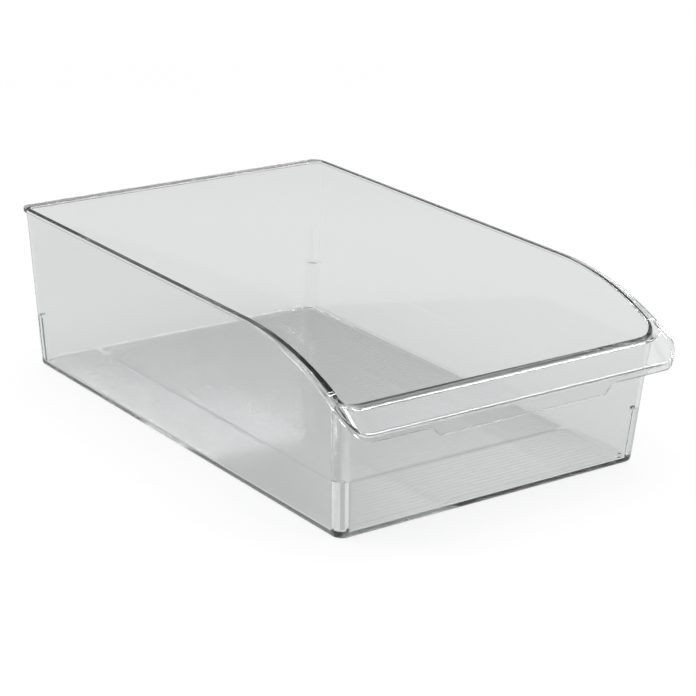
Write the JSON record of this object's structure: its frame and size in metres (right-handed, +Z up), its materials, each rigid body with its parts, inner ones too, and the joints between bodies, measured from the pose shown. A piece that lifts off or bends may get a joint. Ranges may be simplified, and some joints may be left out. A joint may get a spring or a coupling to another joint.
{
  "type": "open storage bin",
  "caption": "Clear rectangular open-top storage bin with leaning walls, a rim that sweeps down to a lowered front and a shelf-like pull handle.",
  "frame": {"origin": "middle of the bounding box in plan, on the surface that the bin stands on", "axes": "+Z up, +Y from the handle towards the back wall, +X to the right as seen from the front"},
  "size_m": [0.224, 0.3486, 0.1],
  "materials": {
    "clear_plastic": "clear polished moulding"
  },
  "bodies": {
    "root": {"floor_panel": "clear_plastic", "floor_ribs": "clear_plastic", "back_wall": "clear_plastic", "back_rim": "clear_plastic", "front_wall": "clear_plastic", "front_rim": "clear_plastic", "left_wall": "clear_plastic", "left_rim": "clear_plastic", "right_wall": "clear_plastic", "right_rim": "clear_plastic", "front_left_corner": "clear_plastic", "front_left_rim_corner": "clear_plastic", "front_left_stacking_post": "clear_plastic", "front_right_corner": "clear_plastic", "front_right_rim_corner": "clear_plastic", "front_right_stacking_post": "clear_plastic", "back_left_corner": "clear_plastic", "back_left_rim_corner": "clear_plastic", "back_left_stacking_post": "clear_plastic", "back_right_corner": "clear_plastic", "back_right_rim_corner": "clear_plastic", "back_right_stacking_post": "clear_plastic", "handle_shelf": "clear_plastic", "handle_skirt": "clear_plastic", "grip_lip": "clear_plastic", "handle_left_ear": "clear_plastic", "handle_left_ear_skirt": "clear_plastic", "handle_right_ear": "clear_plastic", "handle_right_ear_skirt": "clear_plastic"}
  },
  "joints": []
}
